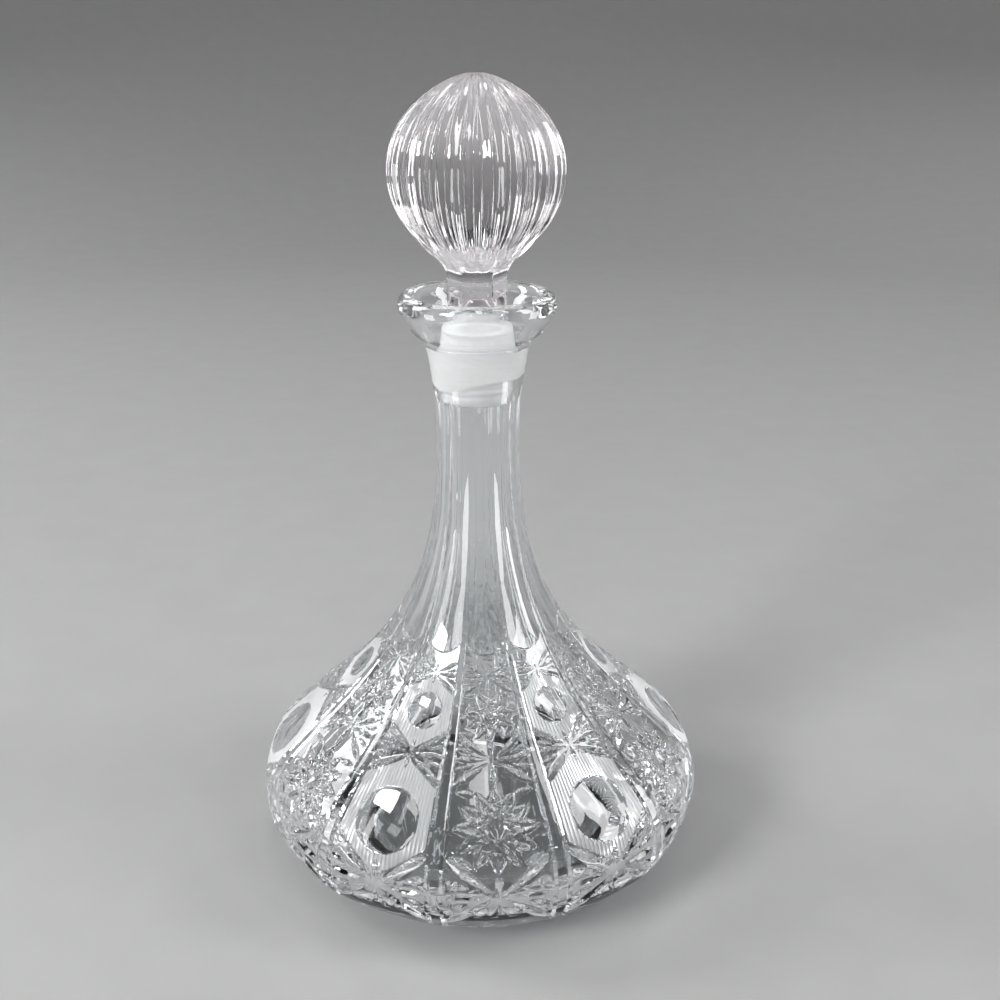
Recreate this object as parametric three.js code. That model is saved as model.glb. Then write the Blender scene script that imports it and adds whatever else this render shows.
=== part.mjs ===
// Cut crystal decanter: a wide-bellied vessel with a fluted neck, a fluted ball stopper, and the soft
// plastic sleeve that seals the stopper's peg in the throat.
// Lengths are millimetres, +Z is up, and the origin is the centre of the flat foot. Angles are measured
// from -Y towards +X, so the middle of the first column of cuts faces -Y.
import * as THREE from "three";

const DEGREE = Math.PI / 180;

// Vessel.
const COLUMN_COUNT = 12; // columns of cuts round the belly, each under one flute of the neck
const STEPS_PER_COLUMN = 5;
const RIB_WIDTH = 4.4; // flat rib left standing between two columns
const RIDGE_HALF_ANGLE = 0.8 * DEGREE; // what is left of a rib where it narrows to a ridge on the neck
const RIB_NARROWS_FROM = 60;
const COLUMN_DEPTH = 0.5; // how far a column lies below its ribs on the belly
const COLUMN_BOTTOM = 6; // height at which the columns fade out, at the heel
const FLUTE_DEPTH = 1.1; // how far a neck flute lies below its ridges
const FLUTE_BOTTOM = 90; // height of the flutes' scalloped lower ends
const FLUTE_TOP = 174; // height at which the flutes fade out, under the lip
const CUT_FADE = 7;
const FOOT_RADIUS = 57;
const FLOOR_THICKNESS = 9;
const FLOOR_FLAT_RADIUS = 44;

// Radius, height and wall thickness down the outside, from the heel to the neck's narrowest stretch.
const WALL_STATIONS = [
  [66.5, 8, 9],
  [74.9, 16, 8.2],
  [78.2, 27, 7.4],
  [75.9, 38.8, 7],
  [68.2, 48, 6.7],
  [54.3, 60.8, 6.4],
  [42.4, 72, 6.1],
  [32, 84.8, 5.7],
  [25.4, 96, 5.2],
  [20.1, 108.8, 4.8],
  [16.3, 124.8, 4.3],
  [14.3, 142.4, 3.6],
  [13.9, 157, 3.2],
];

// Throat and lip.
const THROAT_STATIONS = [
  [14.4, 169],
  [16.3, 182.4],
  [18, 187.5],
  [22, 191.5],
];
const LIP_RADIUS = 25.7;
const LIP_WIDTH = 6;
const LIP_HEIGHT = 203;
const LIP_ROUNDING = 4; // height of the lip's rounded top

// How finely the vessel's outline is cut into straight steps.
const OUTSIDE_STEPS = 30;
const LIP_STEPS = 6;
const INSIDE_STEPS = 18;

// Conical seat that the sleeve closes, bottom and top.
const SEAT_BOTTOM_HEIGHT = 166;
const SEAT_BOTTOM_RADIUS = 11;
const SEAT_TOP_HEIGHT = 188;
const SEAT_TOP_RADIUS = 13;

// Sleeve: a plastic cup pushed over the stopper's peg.
const FIT_GAP = 0.3; // between the seat, the sleeve and the peg
const SLEEVE_WALL = 1;
const SLEEVE_FLOOR_HEIGHT = 167.5;
const SLEEVE_CORNER = 1.6; // rounding of the lower edge
const SLEEVE_CORNER_STEPS = 3;
const CONE_TOP_HEIGHT = 187.5; // the sleeve's widest place, just under the seat's edge
const SLEEVE_SHOULDER_HEIGHT = 193;
const SLEEVE_SHOULDER_RADIUS = 11.6;
const SLEEVE_TOP_HEIGHT = 197;
const SLEEVE_TOP_RADIUS = 10.9;
const GATE_TIP_RADIUS = 0.9; // moulding nub under the cup
const GATE_RADIUS = 1.5;
const GATE_LENGTH = 4.8;
const SLEEVE_STEPS = 36;

// Stopper: a solid fluted ball on a six-sided stem, with a round peg below.
const STOPPER_TURN = -3 * DEGREE; // how the stopper happens to stand in the neck
const BALL_RADIUS = 28;
const BALL_CENTRE_HEIGHT = 240.6;
const CROWN_HEIGHT = 29; // the ball's upper half is drawn up a little
const CROWN_DRAW = 0.22; // how much narrower than an ellipse the upper half grows towards its top
const CROWN_STEPS = 10;
const LOWER_BALL_STEPS = 4;
const BALL_FLUTE_COUNT = 18;
const BALL_FLUTE_DEPTH = 1.1;
const STEPS_PER_BALL_FLUTE = 4;
const TAPER_LATITUDE = -32 * DEGREE; // below it the ball draws in to the stem
const TAPER_STEPS = 6;
const BALL_FLUTE_BOTTOM = 212;
const BALL_FLUTE_FADE = 5;
const STEM_PANEL_COUNT = 6;
const STEM_FOOT_RADIUS = 9.5;
const STEM_FOOT_HEIGHT = 200; // where the six-sided stem has become the round peg
const PEG_CHAMFER = 0.6;

// Radius over the corners and height, from the stem's waist up into the ball.
const STEM_STATIONS = [
  [9.8, 203],
  [9.6, 207],
  [9.9, 211],
  [14.2, 214.6],
  [19.1, 219.6],
];

const CRYSTAL = { color: 0xe6ecf0, roughness: 0.04, metalness: 0 };
const MILKY_PLASTIC = { color: 0xf4f4f0, roughness: 0.45, metalness: 0 };

const smoothstep = THREE.MathUtils.smoothstep;
const point = (radius, height) => new THREE.Vector2(radius, height);

// A smooth outline through the given points, cut into the given number of straight steps.
function outline(points, steps) {
  return new THREE.SplineCurve(points).getPoints(steps);
}

// Turns a profile about Z. reshape(radius, height, step, row) may move a point of the profile to another
// radius and angle; a profile that runs up the outside has its faces pointing out.
function turn(profile, steps, reshape) {
  const geometry = new THREE.LatheGeometry(profile, steps);
  geometry.rotateX(Math.PI / 2);
  const position = geometry.getAttribute("position");
  for (let i = 0; i < position.count; i += 1) {
    const row = i % profile.length;
    const step = Math.floor(i / profile.length) % steps;
    const { x: radius, y: height } = profile[row];
    const placed = reshape(radius, height, step, row);
    position.setXY(i, placed.radius * Math.sin(placed.angle), -placed.radius * Math.cos(placed.angle));
  }
  geometry.computeVertexNormals();
  return geometry;
}

// The wall stations' points, moved inwards by the wall thickness.
function insideOf(stations) {
  const outer = stations.map(([radius, height]) => point(radius, height));
  return stations.map(([, , wall], i) => {
    const before = outer[Math.max(i - 1, 0)];
    const after = outer[Math.min(i + 1, outer.length - 1)];
    const along = after.clone().sub(before).normalize();
    return outer[i].clone().add(point(-along.y, along.x).multiplyScalar(wall));
  });
}

// How far the middle of a column lies below its ribs at a height.
function cutDepth(height) {
  const column = COLUMN_DEPTH * smoothstep(height, COLUMN_BOTTOM, COLUMN_BOTTOM + CUT_FADE);
  const flute = FLUTE_DEPTH * (1 - smoothstep(height, FLUTE_TOP - CUT_FADE, FLUTE_TOP));
  return THREE.MathUtils.lerp(column, flute, smoothstep(height, FLUTE_BOTTOM - CUT_FADE, FLUTE_BOTTOM));
}

// A point of the outside. Each column runs from rib to rib in a shallow hollow.
function columnPoint(radius, height, step) {
  const column = Math.floor(step / STEPS_PER_COLUMN);
  const across = ((step % STEPS_PER_COLUMN) * 2) / (STEPS_PER_COLUMN - 1) - 1;
  const columnAngle = (2 * Math.PI) / COLUMN_COUNT;
  const ribHalfAngle = THREE.MathUtils.lerp(
    RIB_WIDTH / 2 / Math.max(radius, FOOT_RADIUS),
    RIDGE_HALF_ANGLE,
    smoothstep(height, RIB_NARROWS_FROM, FLUTE_BOTTOM),
  );
  return {
    radius: radius - cutDepth(height) * (1 - across * across),
    angle: column * columnAngle + across * (columnAngle / 2 - ribHalfAngle),
  };
}

// A point of the inside, which is round.
function borePoint(radius, height, step) {
  return { radius, angle: (step * 2 * Math.PI) / (COLUMN_COUNT * STEPS_PER_COLUMN) };
}

function vesselGeometry() {
  const lipCentre = point(LIP_RADIUS - LIP_WIDTH / 2, LIP_HEIGHT - LIP_ROUNDING);
  const lip = new THREE.EllipseCurve(
    lipCentre.x,
    lipCentre.y,
    LIP_WIDTH / 2,
    LIP_ROUNDING,
    0,
    Math.PI,
  ).getPoints(LIP_STEPS);
  const outer = outline(
    [
      point(FOOT_RADIUS, 0),
      ...WALL_STATIONS.map(([radius, height]) => point(radius, height)),
      ...THROAT_STATIONS.map(([radius, height]) => point(radius, height)),
      lip[0],
    ],
    OUTSIDE_STEPS,
  );
  const neckBore = insideOf(WALL_STATIONS).reverse();
  const inner = outline(
    [point(SEAT_BOTTOM_RADIUS, SEAT_BOTTOM_HEIGHT), ...neckBore, point(FLOOR_FLAT_RADIUS, FLOOR_THICKNESS)],
    INSIDE_STEPS,
  );
  const profile = [
    point(0, 0),
    ...outer,
    ...lip.slice(1),
    point(SEAT_TOP_RADIUS, SEAT_TOP_HEIGHT),
    ...inner,
    point(0, FLOOR_THICKNESS),
  ];
  const outsideRows = outer.length;
  const firstStep = (STEPS_PER_COLUMN - 1) / 2; // the profile's step 0 is the first column's left rib
  return turn(profile, COLUMN_COUNT * STEPS_PER_COLUMN, (radius, height, step, row) =>
    row <= outsideRows ? columnPoint(radius, height, step) : borePoint(radius, height, step - firstStep),
  );
}

// Radius of the sleeve's outside at a height on its cone.
function sleeveRadius(height) {
  const share = (height - SEAT_BOTTOM_HEIGHT) / (SEAT_TOP_HEIGHT - SEAT_BOTTOM_HEIGHT);
  return THREE.MathUtils.lerp(SEAT_BOTTOM_RADIUS, SEAT_TOP_RADIUS, share) - FIT_GAP;
}

function sleeveGeometry() {
  const cornerHeight = SLEEVE_FLOOR_HEIGHT + SLEEVE_CORNER;
  const corner = new THREE.EllipseCurve(
    sleeveRadius(cornerHeight) - SLEEVE_CORNER,
    cornerHeight,
    SLEEVE_CORNER,
    SLEEVE_CORNER,
    -Math.PI / 2,
    0,
  ).getPoints(SLEEVE_CORNER_STEPS);
  const wall = [
    point(sleeveRadius(CONE_TOP_HEIGHT), CONE_TOP_HEIGHT),
    point(SLEEVE_SHOULDER_RADIUS, SLEEVE_SHOULDER_HEIGHT),
    point(SLEEVE_TOP_RADIUS, SLEEVE_TOP_HEIGHT),
  ];
  const lining = [...wall].reverse().map(({ x, y }) => point(x - SLEEVE_WALL, y));
  const profile = [
    point(0, SLEEVE_FLOOR_HEIGHT - GATE_LENGTH),
    point(GATE_TIP_RADIUS, SLEEVE_FLOOR_HEIGHT - GATE_LENGTH),
    point(GATE_RADIUS, SLEEVE_FLOOR_HEIGHT),
    ...corner,
    ...wall,
    ...lining,
    point(sleeveRadius(cornerHeight) - SLEEVE_WALL, cornerHeight),
    point(0, cornerHeight),
  ];
  return turn(profile, SLEEVE_STEPS, (radius, height, step) => ({
    radius,
    angle: (step * 2 * Math.PI) / SLEEVE_STEPS,
  }));
}

// Radius of a regular polygon at an angle, as a share of its corner radius, with a side centred on 0.
function polygonShare(angle, sides) {
  const side = (2 * Math.PI) / sides;
  const fromMiddle = angle - side * Math.round(angle / side);
  return Math.cos(side / 2) / Math.cos(fromMiddle);
}

// A point of the stopper: round on the peg, six-sided on the stem, fluted on the ball.
function stopperPoint(radius, height, angle) {
  const [[, stemBottom]] = STEM_STATIONS;
  const panelled =
    smoothstep(height, STEM_FOOT_HEIGHT, stemBottom) *
    (1 - smoothstep(height, BALL_FLUTE_BOTTOM, BALL_FLUTE_BOTTOM + BALL_FLUTE_FADE));
  const panelShare = THREE.MathUtils.lerp(1, polygonShare(angle, STEM_PANEL_COUNT), panelled);
  const acrossFlute = (1 + Math.cos(BALL_FLUTE_COUNT * angle)) / 2;
  const fluted = smoothstep(height, BALL_FLUTE_BOTTOM, BALL_FLUTE_BOTTOM + BALL_FLUTE_FADE);
  const nearAxis = Math.min(1, (2 * radius) / BALL_RADIUS);
  return { radius: radius * panelShare - BALL_FLUTE_DEPTH * acrossFlute * fluted * nearAxis, angle };
}

// Part of the ball's outline, between two latitudes.
function ballArc(halfHeight, from, to, steps) {
  return new THREE.EllipseCurve(0, BALL_CENTRE_HEIGHT, BALL_RADIUS, halfHeight, from, to).getPoints(steps);
}

function stopperGeometry() {
  const steps = BALL_FLUTE_COUNT * STEPS_PER_BALL_FLUTE;
  const reach = SLEEVE_WALL + FIT_GAP;
  const pegBottom = SLEEVE_FLOOR_HEIGHT + SLEEVE_CORNER + FIT_GAP;
  const lowerBall = ballArc(BALL_RADIUS, TAPER_LATITUDE, 0, LOWER_BALL_STEPS);
  const crown = ballArc(CROWN_HEIGHT, 0, Math.PI / 2, CROWN_STEPS).map(({ x, y }) => {
    const rise = (y - BALL_CENTRE_HEIGHT) / CROWN_HEIGHT;
    return point(x * (1 - CROWN_DRAW * rise ** 3), y);
  });
  const taper = [...STEM_STATIONS.map(([radius, height]) => point(radius, height)), lowerBall[0]];
  const profile = [
    point(0, pegBottom),
    point(sleeveRadius(pegBottom) - reach - PEG_CHAMFER, pegBottom),
    point(sleeveRadius(pegBottom) - reach, pegBottom + PEG_CHAMFER),
    point(sleeveRadius(CONE_TOP_HEIGHT) - reach, CONE_TOP_HEIGHT),
    point(SLEEVE_SHOULDER_RADIUS - reach, SLEEVE_SHOULDER_HEIGHT),
    point(SLEEVE_TOP_RADIUS - reach, SLEEVE_TOP_HEIGHT),
    point(STEM_FOOT_RADIUS, STEM_FOOT_HEIGHT),
    ...outline(taper, TAPER_STEPS),
    ...lowerBall.slice(1),
    ...crown.slice(1, -1),
    point(0, BALL_CENTRE_HEIGHT + CROWN_HEIGHT),
  ];
  return turn(profile, steps, (radius, height, step) =>
    stopperPoint(radius, height, (step * 2 * Math.PI) / steps),
  );
}

function piece(name, geometry, look) {
  const mesh = new THREE.Mesh(geometry, new THREE.MeshStandardMaterial(look));
  mesh.name = name;
  return mesh;
}

const decanter = new THREE.Group();
decanter.name = "cut_crystal_decanter";
decanter.add(piece("decanter_body", vesselGeometry(), CRYSTAL));

const closure = new THREE.Group();
closure.name = "closure";
closure.rotation.z = STOPPER_TURN;
closure.add(piece("stopper_sleeve", sleeveGeometry(), MILKY_PLASTIC));
closure.add(piece("stopper", stopperGeometry(), CRYSTAL));
decanter.add(closure);

export default decanter;
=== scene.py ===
"""The looks of a cut crystal decanter: its cut vessel, its fluted stopper and the plastic sleeve between.

Angles round the decanter are measured from -Y towards +X, and every outline is read from the frame. The cuts
are laid out on it in a column's own units, p across (rib to rib is -1 to 1) and q up, both in half column
widths. Other sizes of the decanter are in millimetres. The floor, the lights and the camera are in metres.
"""
import math

import bpy
import numpy as np
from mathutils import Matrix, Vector


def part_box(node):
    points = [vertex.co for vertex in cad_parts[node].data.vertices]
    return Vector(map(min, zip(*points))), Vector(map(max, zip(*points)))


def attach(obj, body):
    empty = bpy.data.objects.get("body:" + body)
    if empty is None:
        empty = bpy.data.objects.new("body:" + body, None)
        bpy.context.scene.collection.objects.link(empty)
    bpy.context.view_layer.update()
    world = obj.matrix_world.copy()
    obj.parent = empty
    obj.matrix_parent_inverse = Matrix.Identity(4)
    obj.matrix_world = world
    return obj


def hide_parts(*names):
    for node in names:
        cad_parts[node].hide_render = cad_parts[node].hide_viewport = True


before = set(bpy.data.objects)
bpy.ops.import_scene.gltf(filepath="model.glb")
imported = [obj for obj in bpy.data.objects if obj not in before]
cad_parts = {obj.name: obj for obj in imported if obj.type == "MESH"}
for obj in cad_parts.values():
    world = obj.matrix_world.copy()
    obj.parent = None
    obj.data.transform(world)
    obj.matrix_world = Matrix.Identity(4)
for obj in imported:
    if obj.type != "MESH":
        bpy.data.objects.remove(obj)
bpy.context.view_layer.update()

MM = 0.001

# Columns of cuts.
COLUMNS = 12
COLUMN_ANGLE = 2 * math.pi / COLUMNS
FIRST_ANGLE = -COLUMN_ANGLE / 2  # where the first column starts
STEPS_PER_COLUMN = 84  # fine steps across one column and its rib
RIB_STEPS = 5  # of which this many on each side are rib
STEP_ANGLE = COLUMN_ANGLE / STEPS_PER_COLUMN
HALF_COLUMN = COLUMN_ANGLE / 2 - RIB_STEPS * STEP_ANGLE  # angle from a column's middle to its rib
ROW_STEP = 0.032  # height of one row of the cut belly, in half column widths

# Heights of the middles of the bands of cuts, and of the lower ends of the neck's flutes.
CUT_TOP = 98.0  # the cut belly's fine rows end here
BANDS = {
    "lower star": 29.2,
    "main field": 47.6,
    "middle star": 62.5,
    "upper field": 72.7,
    "top star": 82.3,
    "scallop middle": 87.6,
    "scallop corner": 92.4,
    "end": CUT_TOP,
}

# Cuts, in half column widths.
CUT_STEEPNESS = 0.9
RIB_GROOVE = 0.055
STAR_RISE = 0.72  # how far a star's slanting rays climb on their way to the rib
TOP_STAR_RISE = 0.62
STAR_REACH = 1.02
SIDE_RAY_FROM = 0.42  # how far out the side rays begin, between a slanting ray and a level one
SIDE_RAY_RISE = 0.42  # how far they climb, as a share of a slanting ray's climb
UPRIGHT_RAY = 0.42
RAY_WIDTH = 0.1
LEVEL_RAY_WIDTH = 0.085
SIDE_RAY_WIDTH = 0.06
HOB_REACH = 0.9
HOB_POINTS = 12
HOB_SKIP = 5  # each chord of a hobstar joins two points this many apart
HOB_GROOVE = 0.092
HOB_RING = 0.04  # half width of the ring cut round the button
BUTTON_EDGE = 0.02
BUTTON_DIMPLE = 0.06
FIELD_LEAF_WIDTH = 0.085
CORNER_LEAF_WIDTH = 0.08
FIELD_MARGIN = 0.12  # from a star's slanting rays to the lined field
MAIN_OVAL = (0.63, 0.64)  # half widths across and up
UPPER_OVAL = (0.59, 0.6)
OVAL_SINK = 0.09
OVAL_EDGE = 0.02
OVAL_RIM = 0.018  # a faint groove just outside an oval
OVAL_RIM_WIDTH = 0.05
FAN_LEAVES = 4  # on each side of the upright one
FAN_SPREAD = math.radians(17)
FAN_FOCUS = 0.62  # the fan's middle, as a share of the way from the foot to the lower star
FAN_REACH = 1.35  # the leaves aim beyond the foot's edge, which cuts them off while they are wide
FAN_LEAF_WIDTH = 0.095
FIELD_HOLLOW_GROWS = (0.05, 0.5)  # a column is flat below the first and fully hollow above the second
FLUTE_EDGE = 0.14  # how far a flute takes to reach its depth
FOOT_CUT_SHARE = 0.8  # the share of their depth that the cuts keep at the foot's edge
FOOT_CUT_EASE = 0.12  # how far up they have all of it

# Hollows.
FIELD_HOLLOW = 0.5
FLUTE_DEPTH = 1.1
FLUTE_EXTRA = 0.25  # how much deeper a flute is where it begins, on the belly
LINE_DEPTH = 0.36
UNCUT = 0.05  # fine lines are added where the other cuts are shallower than this
MAIN_LINE_STEPS = 3  # steps from one fine line to the next
UPPER_LINE_STEPS = 4

# Neck.
NECK_STEPS = 21  # steps across one flute
NECK_ROW = 1.2
RIDGE_HALF_ANGLE = math.radians(0.8)
RIBS_NARROW_OVER = 12
FLUTE_LOSS = 0.6  # the share of their depth that the flutes lose between the next two heights
FLUTE_LOSS_BETWEEN = (120, 162)
FLUTE_TOP = 174.0
FLUTE_FADE = 7.0

# Inside and underside.
SEAT_BOTTOM = 166.0  # the seat and the throat are above this
THROAT_ROW = 0.8
THROAT_BLUR = 0.9
INSIDE_ROW = 2.0
WAVE_DEPTH = 0.12
WAVES_FADE = (120, 160)  # the inside's waves die out between these heights
WAVES_FULL_RADIUS = 40
FLOOR_DOME = 0.5
FLOOR_SHARES = (0.92, 0.8, 0.65, 0.5, 0.35, 0.2, 0.08)
BASE_HOLLOW = 1.4
BASE_HOLLOW_SHARE = 0.86  # the hollow's radius as a share of the foot's
BASE_SLOPE = 4  # how wide the slope up into the hollow is
BASE_MARGIN = 1.5
BASE_ROWS = 40
VESSEL_SHARP = 28  # degrees; an edge that bends more than this stays crisp

# Stopper.
STOPPER_TURN = math.radians(-3)
STOPPER_ROW = 0.5
PEG_BLUR = 0.4
BALL_FLUTES = 18
BALL_FLUTE_STEPS = 22
BALL_RIDGE_FROM = 0.66  # beyond this share of a flute's half width its ridge is rounded
BALL_FLUTE_DEPTH = 1.8
BALL_FLUTE_BOTTOM = 210.5
BALL_SCALLOP = 1.6  # how much higher a flute begins at its ridges
BALL_FLUTE_FADE = 7
BALL_FLUTE_RADIUS = 17  # the flutes grow shallow where the ball is narrower than this
CROWN_DRAW = 0.22  # how much narrower than an ellipse the ball's upper half grows towards its top
CROWN_STEP = 4  # degrees
STEM_PANELS = 6
STEM_BOTTOM = 200.0
STEM_TOP = 213.5
STEM_BOTTOM_FADE = 3
STEM_TOP_FADE = 2
STEM_EASE = 2.0  # how widely the corner between stem and ball is rounded
STEM_EASE_FADES = (216, 222)  # that rounding dies out between these heights
STOPPER_SHARP = 40

# Sleeve.
SLEEVE_STEPS = 144
WALL_ROW = 0.35
WALL_BLUR = 0.45
CUP_ROW = 1.2
CUP_BLUR = 0.6
NUB_TIP = 1.0
NUB_RADIUS = 1.5
NUB_BASE_RADIUS = 2.3
NUB_ANGLES = (25, 50, 75, 90)
SEAL_FOOT = 174.5  # mean height of the wavy line above which the sleeve touches the glass
SEAL_EDGE = 0.5
SEAL_TOP = 187.6
SEAT_PRESS = 0.03  # how far the sleeve is pressed into the glass where it seals
SLEEVE_SHARP = 60

# Materials.
CRYSTAL_IOR = 1.545
VESSEL_TINTS = ((0.98, 0.99, 1.0), (0.955, 0.975, 0.99))
STOPPER_TINTS = ((1.0, 0.98, 0.995), (0.985, 0.955, 0.98))
PLASTIC_TINTS = ((0.93, 0.925, 0.91), (0.98, 0.98, 0.975))
LINE_CLARITY = 0.86  # how much of the light the unpolished lines let through
LINE_FROST = 0.3
FLOOR_SHADES = (0.27, 0.28)

# Floor.
FLOOR_FLAT = (0.4, 0.8, 1.2)
FLOOR_SWEEP = 1.4
FLOOR_RISE = 1.2
FLOOR_SIDES = 96

# Lights: name, place, what it points at, width, height, watts.
BELLY = (0, 0, 0.1)
NECK_FOOT = (0, 0, 0.12)
SOFTBOXES = (
    ("key", (-1.28, -1.05, 1.08), BELLY, 0.57, 0.57, 62),
    ("right_strip", (1.45, -0.42, 1.0), NECK_FOOT, 0.5, 1.0, 30),
    ("left_strip", (-1.45, 0.4, 1.05), NECK_FOOT, 0.5, 1.0, 30),
    ("back_left", (-0.8, 1.35, 1.0), NECK_FOOT, 0.14, 0.8, 7),
    ("back_right", (0.85, 1.35, 1.0), NECK_FOOT, 0.14, 0.8, 7),
    ("ceiling_0", (-0.5, -0.35, 1.25), (-0.3, -0.1, 0.1), 0.12, 1.0, 5.5),
    ("ceiling_1", (0.0, -0.35, 1.25), (0.0, -0.1, 0.1), 0.12, 1.0, 5.5),
    ("ceiling_2", (0.5, -0.35, 1.25), (0.3, -0.1, 0.1), 0.12, 1.0, 5.5),
    ("glint_0", (-0.35, -1.4, 1.0), BELLY, 0.1, 0.1, 3),
    ("glint_1", (0.8, -1.2, 0.95), BELLY, 0.1, 0.1, 3),
    ("glint_2", (0.2, -1.0, 1.5), BELLY, 0.1, 0.1, 3),
    ("glint_3", (-1.3, 0.6, 1.1), BELLY, 0.1, 0.1, 3),
)
LOW_STRIPS = (
    ("low_left", (-0.42, -0.12, 0.14), NECK_FOOT, 0.12, 0.26, 1.3),
    ("low_right", (0.42, -0.06, 0.14), NECK_FOOT, 0.12, 0.26, 1.3),
)
HORIZON_SKY = (0.3, 0.3, 0.31)
LOW_SKY = (0.012, 0.012, 0.014)
LOW_SKY_AT = 0.4
HIGH_SKY = (0.22, 0.222, 0.228)
HIGH_SKY_AT = 0.8
EXPOSURE = -0.9

# Camera.
CAMERA_DISTANCE = 0.4  # from the decanter's axis
CAMERA_HEIGHT = 0.2848
CAMERA_ROUND = math.radians(4.2)  # how far to the left of the front
CAMERA_PITCH = math.radians(69.05)
CAMERA_HEADING = math.radians(5.25)
CAMERA_LENS = 45.34
CAMERA_SENSOR = 36


# Reading the frame.

def rows_of(node):
    """The (radius, height) rows of a turned CAD node: those facing out going up, then those facing in going
    down."""
    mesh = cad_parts[node].data
    sides = {True: {}, False: {}}
    for polygon in mesh.polygons:
        centre = polygon.center
        reach = max(math.hypot(centre.x, centre.y), 1e-9)
        outward = (polygon.normal.x * centre.x + polygon.normal.y * centre.y) / reach
        if abs(outward) < 0.05:
            continue
        for index in polygon.vertices:
            corner = mesh.vertices[index].co
            height = round(corner.z / MM, 2)
            radius = math.hypot(corner.x, corner.y) / MM
            side = sides[outward > 0]
            side[height] = max(side.get(height, 0), radius)
    outside = [(radius, height) for height, radius in sorted(sides[True].items())]
    inside = [(radius, height) for height, radius in sorted(sides[False].items(), reverse=True)]
    return np.array(outside), np.array(inside)


class Outline:
    """A smooth curve through (radius, height) points, by distance along it."""

    def __init__(self, points):
        self.points = np.array(points, float)
        self.chord = np.r_[0, np.cumsum(np.hypot(*np.diff(self.points, axis=0).T))]
        self.slope = np.gradient(self.points, self.chord, axis=0)
        self.length = self.chord[-1]

    def at(self, distance):
        distance = np.atleast_1d(distance)
        i = np.clip(np.searchsorted(self.chord, distance, side="right") - 1, 0, len(self.chord) - 2)
        span = (self.chord[i + 1] - self.chord[i])[:, None]
        u = (distance - self.chord[i])[:, None] / span
        return (
            (2 * u**3 - 3 * u**2 + 1) * self.points[i]
            + (u**3 - 2 * u**2 + u) * span * self.slope[i]
            + (3 * u**2 - 2 * u**3) * self.points[i + 1]
            + (u**3 - u**2) * span * self.slope[i + 1]
        )

    def rows(self, step):
        """Evenly spaced points along the whole curve."""
        return self.at(np.linspace(0, self.length, round(self.length / step) + 1))

    def outward(self, distance):
        """The direction square to the curve, to the right of its travel."""
        ahead = self.at(np.minimum(distance + 0.05, self.length)) - self.at(np.maximum(distance - 0.05, 0))
        ahead /= np.hypot(*ahead.T)[:, None]
        return np.stack([ahead[:, 1], -ahead[:, 0]], axis=1)


def rounded(line, step, blur):
    """A line of evenly spaced points with its corners rounded and its ends kept."""
    distance = step * np.arange(len(line))
    weight = np.exp(-0.5 * ((distance[:, None] - distance[None, :]) / blur) ** 2)
    smooth = weight @ line / weight.sum(axis=1)[:, None]
    smooth[0] = line[0]
    smooth[-1] = line[-1]
    return smooth


def soften(points, step, blur):
    """The straight-sided line through the points, cut into even steps, with its corners rounded."""
    points = np.array(points, float)
    chord = np.r_[0, np.cumsum(np.hypot(*np.diff(points, axis=0).T))]
    distance = np.linspace(0, chord[-1], round(chord[-1] / step) + 1)
    line = np.stack([np.interp(distance, chord, points[:, axis]) for axis in (0, 1)], axis=1)
    return rounded(line, distance[1], blur)


# Mesh building.

def ring(radius, height, count, turn=0.0):
    """A ring of points; radius and height may vary round it."""
    angle = np.arange(count) * 2 * math.pi / count + turn
    heights = np.broadcast_to(height, count)
    return np.stack([radius * np.sin(angle), -radius * np.cos(angle), heights], axis=1)


def matching_faces(lower, upper, a, b):
    """Two triangles for each gap between rings that match and whose points start at a and b. A gap is split
    along its shorter diagonal, which keeps a slanting cut's floor and edges clean."""
    clearly_shorter = 0.995
    k = np.arange(len(lower))
    n = (k + 1) % len(lower)
    rising = np.linalg.norm(lower - upper[n], axis=1)
    falling = np.linalg.norm(lower[n] - upper, axis=1)
    crossed = falling < clearly_shorter * rising
    right = np.stack([a + k, a + n, np.where(crossed, b + k, b + n)], axis=1)
    left = np.stack([np.where(crossed, a + n, a + k), b + n, b + k], axis=1)
    return np.concatenate([right, left]).tolist()


def pole_faces(lower, upper, a, b):
    """A fan of triangles between a ring and a single point."""
    count = max(len(lower), len(upper))
    faces = []
    for k in range(count):
        n = (k + 1) % count
        faces.append((a, b + n, b + k) if len(lower) == 1 else (a + k, a + n, b))
    return faces


def stepped_faces(lower, upper, a, b):
    """Faces between two rings, of which one has a whole number of times fewer points."""
    few = min(len(lower), len(upper))
    below = len(lower) // few
    above = len(upper) // few
    faces = []
    for k in range(few):
        low = [a + (k * below + i) % len(lower) for i in range(below + 1)]
        high = [b + (k * above + i) % len(upper) for i in range(above, -1, -1)]
        faces.append(low + high)
    return faces


def skin(name, rings, sharp_angle):
    """One closed mesh through rings of points, going up the outside. The first and last are single points."""
    starts = np.cumsum([0] + [len(points) for points in rings])
    faces = []
    for lower, upper, a, b in zip(rings, rings[1:], starts, starts[1:]):
        if len(lower) == len(upper):
            faces += matching_faces(lower, upper, a, b)
        elif min(len(lower), len(upper)) == 1:
            faces += pole_faces(lower, upper, a, b)
        else:
            faces += stepped_faces(lower, upper, a, b)
    mesh = bpy.data.meshes.new(name)
    mesh.from_pydata((np.concatenate(rings) * MM).tolist(), [], faces)
    mesh.shade_smooth()
    mesh.set_sharp_from_angle(angle=math.radians(sharp_angle))
    piece = bpy.data.objects.new(name, mesh)
    bpy.context.scene.collection.objects.link(piece)
    return piece


def smoothstep(value, low, high):
    t = np.clip((value - low) / (high - low), 0, 1)
    return t * t * (3 - 2 * t)


# Cuts. Each returns a depth in half column widths.

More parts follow.
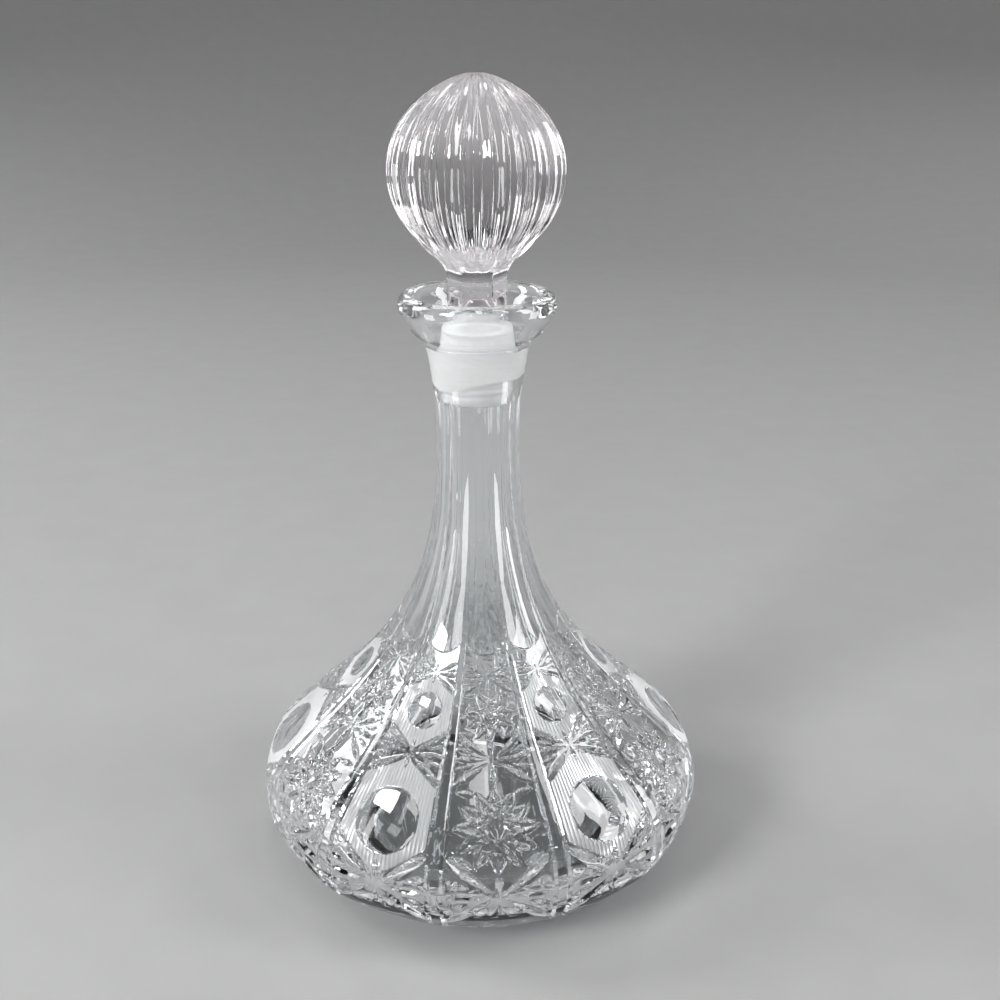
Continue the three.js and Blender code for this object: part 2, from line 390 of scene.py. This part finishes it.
def along_cut(p, q, start, end):
    """How far along the line from start to end each point is, as a share, and how far off the line it is."""
    along = np.subtract(end, start)
    length = np.hypot(*along)
    along = along / length
    share = ((p - start[0]) * along[0] + (q - start[1]) * along[1]) / length
    off = np.abs((q - start[1]) * along[0] - (p - start[0]) * along[1])
    return share, off


def leaf(p, q, start, end, half_width):
    """A V cut that leaves start as a hair line, swells two thirds of the way along and ends in a point."""
    share, off = along_cut(p, q, start, end)
    width = half_width * np.sin(math.pi * np.clip(share, 0, 1) ** 1.6)
    return CUT_STEEPNESS * np.clip(width - off, 0, None)


def groove(p, q, start, end, half_width):
    """A straight V cut of even width that runs out at both ends."""
    share, off = along_cut(p, q, start, end)
    width = half_width * (1 - np.clip(np.abs(2 * share - 1), 0, 1) ** 4)
    return CUT_STEEPNESS * np.clip(width - off, 0, None)


def star(p, q, middle, up=STAR_RISE):
    """The rays from the middle of a band: four slanting ones and two level ones to the ribs, a shorter one
    in each gap between those, and two short upright ones."""
    heart = (0, middle)
    cuts = []
    for side in (-1, 1):
        cuts.append(leaf(p, q, heart, (side * STAR_REACH, middle + up), RAY_WIDTH))
        cuts.append(leaf(p, q, heart, (side * STAR_REACH, middle - STAR_RISE), RAY_WIDTH))
        cuts.append(leaf(p, q, heart, (side * 1.0, middle), LEVEL_RAY_WIDTH))
        for rise in (SIDE_RAY_RISE * up, -SIDE_RAY_RISE * STAR_RISE):
            start = (side * SIDE_RAY_FROM, middle + SIDE_RAY_FROM * rise)
            cuts.append(leaf(p, q, start, (side * 1.0, middle + rise), SIDE_RAY_WIDTH))
        cuts.append(leaf(p, q, heart, (0, middle + side * UPRIGHT_RAY), SIDE_RAY_WIDTH))
    return np.maximum.reduce(cuts)


def hobstar(p, q, middle, below, above):
    """A star of crossing chords round a dimpled button, with leaves to the stars below and above it."""
    y = q - middle
    hob = HOB_REACH * math.cos(math.pi * HOB_SKIP / HOB_POINTS)
    half = math.sqrt(HOB_REACH**2 - hob**2)
    chords = []
    for k in range(HOB_POINTS):
        angle = (k + 0.5) * 2 * math.pi / HOB_POINTS
        normal = np.array([math.cos(angle), math.sin(angle)])
        tangent = np.array([-normal[1], normal[0]])
        start = hob * normal - half * tangent
        end = hob * normal + half * tangent
        chords.append(groove(p, y, start, end, HOB_GROOVE))
    rho = np.hypot(p, y)
    button = BUTTON_EDGE + BUTTON_DIMPLE * (1 - (rho / hob) ** 2)
    cuts = [np.where(rho < hob - 0.01, button, np.maximum.reduce(chords))]
    cuts.append(CUT_STEEPNESS * np.clip(HOB_RING - np.abs(rho - hob), 0, None))
    for end, sign in ((below, -1), (above, 1)):
        tip = middle + sign * (HOB_REACH - 0.04)
        cuts.append(leaf(p, q, (0, end - sign * 0.06), (0, tip), FIELD_LEAF_WIDTH))
        for side in (-1, 1):
            corner = (side * 0.98, end - sign * (STAR_RISE + 0.08))
            shoulder = (side * 0.45, middle + sign * 0.72)
            cuts.append(leaf(p, q, corner, shoulder, CORNER_LEAF_WIDTH))
    return np.maximum.reduce(cuts)


def bull_eye(p, q, middle, below, above, oval):
    """An oval hollow with a faint groove round it. Returns the depth, and the six-sided field outside it."""
    climb = STAR_RISE * np.abs(p) + FIELD_MARGIN
    field = (q - below > climb) & (above - q > climb) & (np.abs(p) < 1 - RIB_GROOVE)
    across, up_down = oval
    rho2 = (p / across) ** 2 + ((q - middle) / up_down) ** 2
    bowl = OVAL_SINK * np.clip(1 - rho2, 0, None) + OVAL_EDGE
    rim = OVAL_RIM * np.exp(-(((np.sqrt(rho2) - 1) / OVAL_RIM_WIDTH) ** 2))
    return np.where(rho2 < 1, bowl, rim), field & (rho2 > 1)


def heel_fan(p, q, star_middle):
    """Leaves that spread from under the lower star to the foot's edge, where q is 0."""
    focus = FAN_FOCUS * star_middle
    cuts = []
    for k in range(-FAN_LEAVES, FAN_LEAVES + 1):
        angle = k * FAN_SPREAD
        reach = focus / math.cos(angle) * FAN_REACH
        end = (reach * math.sin(angle), focus - reach * math.cos(angle))
        cuts.append(leaf(p, q, (0, focus), end, FAN_LEAF_WIDTH))
    return np.maximum.reduce(cuts)


# Vessel.

outer_rows, inner_rows = rows_of("decanter_body")
outer = Outline(outer_rows)


def shared_cuts(p, q, levels):
    """The cuts that every column has: three bands of stars, the fan at the foot and the ribs' grooves."""
    return np.maximum.reduce([
        star(p, q, levels["lower star"]),
        star(p, q, levels["middle star"]),
        star(p, q, levels["top star"], TOP_STAR_RISE),
        heel_fan(p, q, levels["lower star"]),
        CUT_STEEPNESS * np.clip(RIB_GROOVE - np.abs(np.abs(p) - 1), 0, None),
    ])


def column_depths(p, q, levels, half):
    """How deep each point of the two kinds of column is sunk, and which of its points are finely lined."""
    lower = levels["lower star"]
    main = levels["main field"]
    middle = levels["middle star"]
    upper = levels["upper field"]
    top = levels["top star"]
    shared = shared_cuts(p, q, levels)
    hobs = np.maximum(hobstar(p, q, main, lower, middle), hobstar(p, q, upper, middle, top))
    main_eye, main_field = bull_eye(p, q, main, lower, middle, MAIN_OVAL)
    upper_eye, upper_field = bull_eye(p, q, upper, middle, top, UPPER_OVAL)
    steps = np.arange(STEPS_PER_COLUMN)
    main_lines = steps % MAIN_LINE_STEPS == 0
    half_line = UPPER_LINE_STEPS / 2
    upper_lines = 1 - np.abs(steps % UPPER_LINE_STEPS - half_line) / half_line

    bow = np.clip(1 - p**2, 0, 1)
    scallop = levels["scallop middle"]
    arch = scallop + (levels["scallop corner"] - scallop) * (1 - np.sqrt(bow))
    fluted = smoothstep(q, arch, arch + FLUTE_EDGE)
    flute = (FLUTE_DEPTH + FLUTE_EXTRA) * bow * fluted
    hollow = FIELD_HOLLOW * bow * smoothstep(q, *FIELD_HOLLOW_GROWS)
    foot_share = FOOT_CUT_SHARE + (1 - FOOT_CUT_SHARE) * smoothstep(q, 0, FOOT_CUT_EASE)

    kinds = []
    for cuts, has_lines in ((hobs, False), (np.maximum(main_eye, upper_eye), True)):
        depth = np.maximum(shared, np.where(np.abs(p) < 1, cuts, 0))
        depth = np.where(np.abs(p) > 1 + RIB_GROOVE, 0, depth) * (1 - fluted) * half
        free = (depth < UNCUT) & (fluted == 0) & has_lines
        depth = depth + free * LINE_DEPTH * (main_field * main_lines + upper_field * upper_lines)
        kinds.append((depth * foot_share + np.maximum(hollow, flute), free & (main_field | upper_field)))
    return kinds


def belly_rings():
    """Rings of the cut belly, from the foot's edge to the foot of the neck, which of their points are finely
    lined, and how far along the outline they end."""
    distance = np.arange(0, outer.length, 0.05)
    radius, height = outer.at(distance).T
    q_along = np.concatenate([[0], np.cumsum(np.diff(distance) / (HALF_COLUMN * radius[:-1]))])
    levels = {name: float(np.interp(level, height, q_along)) for name, level in BANDS.items()}
    q_rows = np.linspace(0, levels["end"], round(levels["end"] / ROW_STEP) + 1)
    row_distance = np.interp(q_rows, q_along, distance)
    steps = np.arange(STEPS_PER_COLUMN) - STEPS_PER_COLUMN // 2
    q, p = np.meshgrid(q_rows, steps * STEP_ANGLE / HALF_COLUMN, indexing="ij")
    place = outer.at(row_distance)
    place[:, 0] = np.minimum(place[:, 0], outer_rows[:, 0].max())
    half = (HALF_COLUMN * place[:, 0])[:, None]
    kinds = column_depths(p, q, levels, half)
    depth = np.concatenate([kinds[k % 2][0] for k in range(COLUMNS)], axis=1)
    lined = np.concatenate([kinds[k % 2][1] for k in range(COLUMNS)], axis=1)
    out = outer.outward(row_distance)
    count = COLUMNS * STEPS_PER_COLUMN
    rings = [
        ring(row[0] - sunk * square[0], row[1] - sunk * square[1], count, FIRST_ANGLE)
        for row, square, sunk in zip(place, out, depth)
    ]
    return rings, lined, row_distance[-1]


def neck_rings(start):
    """Rings of the fluted neck, from the cut belly to the top of the lip."""
    count = COLUMNS * NECK_STEPS
    rows = round((outer.length - start) / NECK_ROW)
    distance = np.linspace(start, outer.length, rows + 1)[1:]
    local = (np.arange(count) % NECK_STEPS) * COLUMN_ANGLE / NECK_STEPS - COLUMN_ANGLE / 2
    rings = []
    for (radius, height), (out_r, out_z) in zip(outer.at(distance), outer.outward(distance)):
        narrow = smoothstep(height, CUT_TOP, CUT_TOP + RIBS_NARROW_OVER)
        half = (1 - narrow) * HALF_COLUMN + narrow * (COLUMN_ANGLE / 2 - RIDGE_HALF_ANGLE)
        strength = FLUTE_DEPTH + FLUTE_EXTRA * (1 - narrow)
        strength *= 1 - FLUTE_LOSS * smoothstep(height, *FLUTE_LOSS_BETWEEN)
        strength *= 1 - smoothstep(height, FLUTE_TOP - FLUTE_FADE, FLUTE_TOP)
        depth = strength * np.clip(1 - (local / half) ** 2, 0, 1)
        rings.append(ring(radius - depth * out_r, height - depth * out_z, count, FIRST_ANGLE))
    return rings


def seat_radius(height):
    """Radius of the conical seat that the sleeve closes."""
    seat = inner_rows[np.argsort(inner_rows[:, 1])]
    return np.interp(height, seat[:, 1], seat[:, 0])


def inside_rings():
    """Rings down the throat, the seat, the neck's bore and the belly's inside, which is a little wavy, and
    over the domed floor."""
    count = COLUMNS * NECK_STEPS
    throat = inner_rows[inner_rows[:, 1] >= SEAT_BOTTOM - 1]
    below = Outline(inner_rows[inner_rows[:, 1] <= SEAT_BOTTOM + 1])
    down = np.concatenate([soften(throat, THROAT_ROW, THROAT_BLUR)[1:], below.rows(INSIDE_ROW)[1:]])
    angle = np.arange(count) * 2 * math.pi / count
    rings = []
    for radius, height in down:
        sway = np.sin(3 * angle + height / 9) + 0.7 * np.sin(5 * angle - height / 6 + 1)
        sway = sway + 0.5 * np.sin(height / 4)
        calm = float(1 - smoothstep(height, *WAVES_FADE))
        wave = WAVE_DEPTH * sway * calm * min(1, radius / WAVES_FULL_RADIUS)
        rings.append(ring(radius + wave, height, count, FIRST_ANGLE))
    floor_radius, floor_height = inner_rows[-1]
    for share in FLOOR_SHARES:
        dome = FLOOR_DOME * (1 - share**2)
        rings.append(ring(floor_radius * share, floor_height + dome, count, FIRST_ANGLE))
    rings.append(np.array([[0, 0, floor_height + FLOOR_DOME]]))
    return rings


def base_rings():
    """The underside: a flat standing ring round a plain shallow hollow."""
    count = COLUMNS * STEPS_PER_COLUMN // 2
    foot = outer_rows[0][0]
    hollow = BASE_HOLLOW_SHARE * foot
    rings = [np.array([[0, 0, BASE_HOLLOW]])]
    for radius in np.linspace(BASE_MARGIN, foot - BASE_MARGIN, BASE_ROWS):
        height = BASE_HOLLOW * (1 - smoothstep(radius, hollow - BASE_SLOPE, hollow))
        rings.append(ring(radius, height, count, FIRST_ANGLE))
    return rings


def build_vessel():
    """The whole vessel as one skin. The faces of its fine lines take the second material."""
    base = base_rings()
    belly, lined, top = belly_rings()
    vessel = skin("crystal_vessel", base + belly + neck_rings(top) + inside_rings(), VESSEL_SHARP)
    mesh = vessel.data
    lined_points = np.zeros(len(mesh.vertices), int)
    first = sum(len(points) for points in base)
    lined_points[first : first + lined.size] = lined.ravel()
    corners = np.zeros(len(mesh.loops), int)
    mesh.loops.foreach_get("vertex_index", corners)
    starts = np.zeros(len(mesh.polygons), int)
    mesh.polygons.foreach_get("loop_start", starts)
    mesh.polygons.foreach_set("material_index", np.minimum.reduceat(lined_points[corners], starts))
    return vessel


# Stopper and sleeve.

def stopper_line(rows, top):
    """The stopper's outline over its ridges, from the peg's bottom to near the ball's top."""
    widest = int(np.argmax(rows[:, 0]))
    ball_radius, ball_height = rows[widest]
    latitude = np.radians(np.arange(CROWN_STEP, 90, CROWN_STEP))
    crown_radius = ball_radius * np.cos(latitude) * (1 - CROWN_DRAW * np.sin(latitude) ** 3)
    crown = np.stack([crown_radius, ball_height + (top - ball_height) * np.sin(latitude)], axis=1)
    foot = int(np.argmin(np.abs(rows[:, 1] - STEM_BOTTOM)))
    line = Outline(np.concatenate([rows[foot : widest + 1], crown])).rows(STOPPER_ROW)
    kept = smoothstep(line[:, 1], *STEM_EASE_FADES)[:, None]
    line = kept * line + (1 - kept) * rounded(line, STOPPER_ROW, STEM_EASE)
    return np.concatenate([soften(rows[: foot + 1], STOPPER_ROW, PEG_BLUR), line[1:]])


def build_stopper():
    """The peg, the six-sided stem and the fluted ball as one skin."""
    rows, _ = rows_of("stopper")
    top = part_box("stopper")[1].z / MM
    count = BALL_FLUTES * BALL_FLUTE_STEPS
    angle = np.arange(count) * 2 * math.pi / count
    flute_angle = 2 * math.pi / BALL_FLUTES
    across_flute = np.abs(((angle / flute_angle + 0.5) % 1 - 0.5) * 2)
    bend = 1 / (1 - BALL_RIDGE_FROM)
    flute_rise = across_flute**2 - bend * np.clip(across_flute - BALL_RIDGE_FROM, 0, None) ** 2
    flute_rise /= flute_rise.max()
    panel_angle = 2 * math.pi / STEM_PANELS
    from_panel = (angle / panel_angle + 0.5) % 1 - 0.5
    panel_share = math.cos(panel_angle / 2) / np.cos(from_panel * panel_angle)
    scallop = BALL_FLUTE_BOTTOM + BALL_SCALLOP * across_flute**2
    rings = [np.array([[0, 0, rows[0][1]]])]
    for radius, height in stopper_line(rows, top):
        fluted = smoothstep(height, scallop, scallop + BALL_FLUTE_FADE)
        depth = BALL_FLUTE_DEPTH * (1 - flute_rise) * fluted * min(1, radius / BALL_FLUTE_RADIUS)
        panelled = smoothstep(height, STEM_BOTTOM, STEM_BOTTOM + STEM_BOTTOM_FADE)
        panelled = panelled * (1 - smoothstep(height, STEM_TOP - STEM_TOP_FADE, STEM_TOP + STEM_TOP_FADE))
        share = 1 + (panel_share - 1) * panelled
        rings.append(ring(radius * share - depth, height, count, STOPPER_TURN))
    rings.append(np.array([[0, 0, top]]))
    return skin("crystal_stopper", rings, STOPPER_SHARP)


def nub_line(bottom, floor):
    """The outline of the moulding nub under the sleeve's floor: a round tip that flares at its root."""
    tip = [(NUB_TIP * math.sin(t), bottom + NUB_TIP * (1 - math.cos(t))) for t in np.radians(NUB_ANGLES)]
    return tip + [(NUB_RADIUS, floor - 0.8), (NUB_RADIUS + 0.25, floor - 0.25)]


def build_sleeve():
    """The cup round the peg. Where it seals, it is pressed against the seat; below, it stands free."""
    outside, inside = rows_of("stopper_sleeve")
    angle = np.arange(SLEEVE_STEPS) * 2 * math.pi / SLEEVE_STEPS
    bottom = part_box("stopper_sleeve")[0].z / MM
    wall = outside[1:]
    floor = wall[0][1]
    rings = [np.array([[0, 0, bottom]])]
    rings += [ring(radius, height, SLEEVE_STEPS, STOPPER_TURN) for radius, height in nub_line(bottom, floor)]
    seal_foot = SEAL_FOOT + 2.2 * np.sin(angle) + 0.7 * np.sin(3 * angle + 1)
    for radius, height in soften([(NUB_BASE_RADIUS, floor), *wall], WALL_ROW, WALL_BLUR):
        crease = 0.09 * np.sin(height * 1.9 + 0.8 * np.sin(angle))
        crease = crease + 0.06 * np.sin(height * 3.1 + 1.3 * np.cos(angle + 1))
        free = radius + crease * smoothstep(height, floor + 1.5, floor + 4)
        pressed = seat_radius(height) + SEAT_PRESS + 0.02 * np.sin(7 * angle + height)
        seals = smoothstep(height, seal_foot - SEAL_EDGE, seal_foot + SEAL_EDGE) * (height < SEAL_TOP)
        rings.append(ring(free + (pressed - free) * seals, height, SLEEVE_STEPS, STOPPER_TURN))
    for radius, height in soften(inside, CUP_ROW, CUP_BLUR):
        rings.append(ring(radius, height, SLEEVE_STEPS, STOPPER_TURN))
    rings.append(np.array([[0, 0, inside[-1][1]]]))
    return skin("plastic_sleeve", rings, SLEEVE_SHARP)


# Materials.

def new_material(name):
    material = bpy.data.materials.new(name)
    material.use_nodes = True
    nodes = material.node_tree.nodes
    return material, nodes, material.node_tree.links, nodes["Principled BSDF"]


def noise(nodes, links, scale, detail, stretch=(1, 1, 1)):
    """A noise texture fixed to the object."""
    coordinates = nodes.new("ShaderNodeTexCoord")
    mapping = nodes.new("ShaderNodeMapping")
    mapping.inputs["Scale"].default_value = stretch
    texture = nodes.new("ShaderNodeTexNoise")
    texture.inputs["Scale"].default_value = scale
    texture.inputs["Detail"].default_value = detail
    links.new(coordinates.outputs["Object"], mapping.inputs["Vector"])
    links.new(mapping.outputs["Vector"], texture.inputs["Vector"])
    return texture.outputs["Fac"]


def spread(nodes, links, source, low, high, from_low=0.3, from_high=0.7):
    """A value spread over a range."""
    node = nodes.new("ShaderNodeMapRange")
    node.inputs["From Min"].default_value = from_low
    node.inputs["From Max"].default_value = from_high
    node.inputs["To Min"].default_value = low
    node.inputs["To Max"].default_value = high
    links.new(source, node.inputs["Value"])
    return node.outputs["Result"]


def blend(nodes, links, source, colours):
    """A colour between two, chosen by a value."""
    node = nodes.new("ShaderNodeMix")
    node.data_type = "RGBA"
    node.inputs["A"].default_value = (*colours[0], 1)
    node.inputs["B"].default_value = (*colours[1], 1)
    links.new(source, node.inputs["Factor"])
    return node.outputs["Result"]


def add_bump(nodes, links, source, strength, distance, shader):
    bump = nodes.new("ShaderNodeBump")
    bump.inputs["Strength"].default_value = strength
    bump.inputs["Distance"].default_value = distance
    links.new(source, bump.inputs["Height"])
    links.new(bump.outputs["Normal"], shader.inputs["Normal"])


def crystal(name, tints, clarity=1.0, frost=0.0):
    """Lead crystal with faint striae and a few smears: clear and glossy, or frosted and less clear."""
    material, nodes, links, shader = new_material(name)
    shader.inputs["Transmission Weight"].default_value = clarity
    shader.inputs["IOR"].default_value = CRYSTAL_IOR
    smear = noise(nodes, links, 26, 5)
    polish = spread(nodes, links, smear, frost + 0.002, frost + 0.03, 0.45, 0.75)
    links.new(polish, shader.inputs["Roughness"])
    cloud = noise(nodes, links, 9, 2)
    links.new(blend(nodes, links, cloud, tints), shader.inputs["Base Color"])
    striae = noise(nodes, links, 60, 3, (1, 1, 0.35))
    add_bump(nodes, links, striae, 0.06, 0.0006, shader)
    return material


def milky_plastic():
    """Soft white plastic with fine creases."""
    material, nodes, links, shader = new_material("milky_plastic")
    cloud = noise(nodes, links, 90, 4, (1, 1, 2.5))
    links.new(blend(nodes, links, cloud, PLASTIC_TINTS), shader.inputs["Base Color"])
    links.new(spread(nodes, links, cloud, 0.36, 0.55), shader.inputs["Roughness"])
    crease = noise(nodes, links, 180, 4, (1, 1, 3.5))
    add_bump(nodes, links, crease, 0.35, 0.0008, shader)
    return material


def floor_paper():
    """Matt paper with a faint grain."""
    material, nodes, links, shader = new_material("floor_paper")
    grain = noise(nodes, links, 40, 3)
    links.new(spread(nodes, links, grain, *FLOOR_SHADES), shader.inputs["Base Color"])
    shader.inputs["Roughness"].default_value = 0.8
    return material


# Stage, light and camera.

def build_floor():
    """A round pale sweep: flat under the decanter, turning up far from it on every side. Its rings run
    clockwise, which the order of its faces' corners allows for, so that they all look up."""
    sweep = [(reach, 0.0) for reach in FLOOR_FLAT]
    for t in np.radians(np.arange(5, 91, 5)):
        sweep.append((FLOOR_FLAT[-1] + FLOOR_SWEEP * math.sin(t), FLOOR_RISE * (1 - math.cos(t))))
    count = FLOOR_SIDES
    rings = [np.array([[0, 0, 0]])] + [ring(reach, height, count)[::-1] for reach, height in sweep]
    faces = [(0, 1 + (k + 1) % count, 1 + k) for k in range(count)]
    for row in range(len(sweep) - 1):
        start = 1 + row * count
        for k in range(count):
            n = (k + 1) % count
            faces.append((start + k, start + n, start + count + n, start + count + k))
    mesh = bpy.data.meshes.new("floor")
    mesh.from_pydata(np.concatenate(rings).tolist(), [], faces)
    mesh.shade_smooth()
    floor = bpy.data.objects.new("floor", mesh)
    bpy.context.scene.collection.objects.link(floor)
    mesh.materials.append(floor_paper())


def softbox(name, place, target, width, height, power):
    """A soft rectangular lamp that the camera doesn't see directly."""
    light = bpy.data.lights.new(name, "AREA")
    light.shape = "RECTANGLE"
    light.size = width
    light.size_y = height
    light.energy = power
    lamp = bpy.data.objects.new(name, light)
    bpy.context.scene.collection.objects.link(lamp)
    lamp.visible_camera = False
    lamp.location = place
    lamp.rotation_euler = (Vector(target) - Vector(place)).to_track_quat("-Z", "Y").to_euler()
    return lamp


def build_low_light(pieces):
    """Two low strips at the sides, seen in the upright glass of the neck. They light the pieces, not the
    floor."""
    lit = bpy.data.collections.new("lit_by_low_strips")
    for piece in pieces:
        lit.objects.link(piece)
    for strip in LOW_STRIPS:
        softbox(*strip).light_linking.receiver_collection = lit


def build_sky():
    """A dim room, darkest between floor and ceiling, so that the glass gets dark edges."""
    world = bpy.data.worlds.new("studio")
    bpy.context.scene.world = world
    world.use_nodes = True
    nodes = world.node_tree.nodes
    links = world.node_tree.links
    coordinates = nodes.new("ShaderNodeTexCoord")
    split = nodes.new("ShaderNodeSeparateXYZ")
    ramp = nodes.new("ShaderNodeValToRGB")
    stops = ramp.color_ramp.elements
    stops[0].position = 0.0
    stops[0].color = (*HORIZON_SKY, 1)
    stops[1].position = HIGH_SKY_AT
    stops[1].color = (*HIGH_SKY, 1)
    stops.new(LOW_SKY_AT).color = (*LOW_SKY, 1)
    links.new(coordinates.outputs["Generated"], split.inputs["Vector"])
    links.new(split.outputs["Z"], ramp.inputs["Fac"])
    links.new(ramp.outputs["Color"], nodes["Background"].inputs["Color"])


def build_camera():
    lens = bpy.data.cameras.new("camera")
    lens.lens = CAMERA_LENS
    lens.sensor_width = CAMERA_SENSOR
    camera = bpy.data.objects.new("camera", lens)
    bpy.context.scene.collection.objects.link(camera)
    left = -CAMERA_DISTANCE * math.sin(CAMERA_ROUND)
    front = -CAMERA_DISTANCE * math.cos(CAMERA_ROUND)
    camera.location = (left, front, CAMERA_HEIGHT)
    camera.rotation_euler = (CAMERA_PITCH, 0, -CAMERA_HEADING)
    bpy.context.scene.camera = camera


def let_light_through():
    """Light bounces often enough inside the glass that it doesn't turn black."""
    cycles = bpy.context.scene.cycles
    cycles.max_bounces = 32
    cycles.transmission_bounces = 32
    cycles.glossy_bounces = 24
    cycles.diffuse_bounces = 6


# Assembly.

build_camera()
build_floor()
for box in SOFTBOXES:
    softbox(*box)
build_sky()
let_light_through()
bpy.context.scene.view_settings.view_transform = "Standard"
bpy.context.scene.view_settings.exposure = EXPOSURE

vessel = build_vessel()
vessel.data.materials.append(crystal("vessel_crystal", VESSEL_TINTS))
vessel.data.materials.append(crystal("unpolished_lines", VESSEL_TINTS, LINE_CLARITY, LINE_FROST))
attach(vessel, "vessel")
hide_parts("decanter_body")

stopper = build_stopper()
stopper.data.materials.append(crystal("stopper_crystal", STOPPER_TINTS))
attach(stopper, "stopper")
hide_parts("stopper")

sleeve = build_sleeve()
sleeve.data.materials.append(milky_plastic())
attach(sleeve, "seal")
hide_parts("stopper_sleeve")

build_low_light((vessel, stopper, sleeve))
